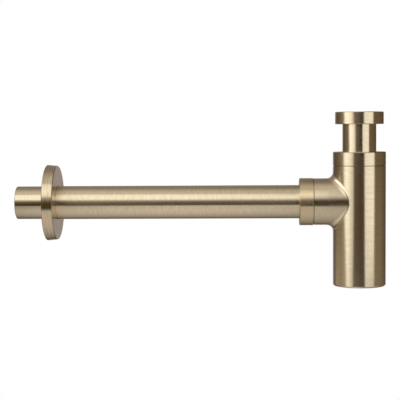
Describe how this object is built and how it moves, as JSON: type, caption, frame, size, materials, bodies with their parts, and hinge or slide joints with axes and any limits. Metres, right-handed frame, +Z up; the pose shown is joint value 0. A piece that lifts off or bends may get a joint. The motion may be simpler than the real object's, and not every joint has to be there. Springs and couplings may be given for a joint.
{
  "type": "sink trap",
  "caption": "Bottle trap for a basin: union nut and dip tube over a plain round bottle, side branch, long straight wall pipe and round wall flange, in pale brushed brass.",
  "frame": {"origin": "centre of the inlet gasket's top face, on the bottle's axis, where the basin waste sits", "axes": "+Z up along the inlet tube, the wall pipe leaves towards -X"},
  "size_m": [0.3551, 0.073, 0.166],
  "materials": {
    "brushed_brass": "brushed, pale gold",
    "rubber": "moulded, matt black",
    "nylon": "moulded, off-white"
  },
  "bodies": {
    "union": {"inlet_union_nut": "brushed_brass"},
    "inlet": {"inlet_tube": "brushed_brass", "inlet_gasket": "rubber"},
    "trap": {"trap_body": "brushed_brass", "cap_cone_seal": "rubber", "outlet_cone_seal": "rubber"},
    "cap_washer": {"cap_slip_washer": "nylon"},
    "cap": {"cap_nut": "brushed_brass"},
    "outlet_washer": {"outlet_slip_washer": "nylon"},
    "outlet_ring": {"outlet_nut": "brushed_brass"},
    "pipe": {"outlet_pipe": "brushed_brass"},
    "flange": {"wall_flange": "brushed_brass", "flange_grip_ring": "rubber"},
    "plug_ring": {"plug_o_ring": "rubber"},
    "plug": {"base_plug": "brushed_brass"}
  },
  "joints": [
    {"name": "inlet_swivel", "type": "hinge", "parent": "union", "child": "inlet", "pos_m": [0, 0, 0], "axis": [0, 0, 1], "continuous": true},
    {"name": "height_slide", "type": "slide", "parent": "inlet", "child": "trap", "axis": [0, 0, 1], "range_m": [-0.04, 0.01]},
    {"name": "cap_travel", "type": "slide", "parent": "trap", "child": "cap_washer", "axis": [0, 0, 1], "range_m": [0, 0.00695]},
    {"name": "cap_turn", "type": "hinge", "parent": "cap_washer", "child": "cap", "pos_m": [0, 0, -0.0387], "axis": [0, 0, 1], "range_deg": [0, 1080]},
    {"name": "outlet_travel", "type": "slide", "parent": "trap", "child": "outlet_washer", "axis": [-1, 0, 0], "range_m": [0, 0.00695]},
    {"name": "outlet_turn", "type": "hinge", "parent": "outlet_washer", "child": "outlet_ring", "pos_m": [-0.0505, 0, -0.0796], "axis": [-1, 0, 0], "range_deg": [0, 1080]},
    {"name": "pipe_slide", "type": "slide", "parent": "trap", "child": "pipe", "axis": [-1, 0, 0], "range_m": [-0.0045, 0.012]},
    {"name": "flange_slide", "type": "slide", "parent": "pipe", "child": "flange", "axis": [-1, 0, 0], "range_m": [-0.215, 0.024]},
    {"name": "plug_travel", "type": "slide", "parent": "trap", "child": "plug_ring", "axis": [0, 0, -1], "range_m": [0, 0.0046]},
    {"name": "plug_turn", "type": "hinge", "parent": "plug_ring", "child": "plug", "pos_m": [0, 0, -0.1555], "axis": [0, 0, -1], "range_deg": [0, 1080]}
  ],
  "couplings": [
    {"joint": "cap_travel", "follows": "cap_turn", "m_per_rad": 0.00036749},
    {"joint": "outlet_travel", "follows": "outlet_turn", "m_per_rad": 0.00036749},
    {"joint": "plug_travel", "follows": "plug_turn", "m_per_rad": 0.00023873}
  ]
}
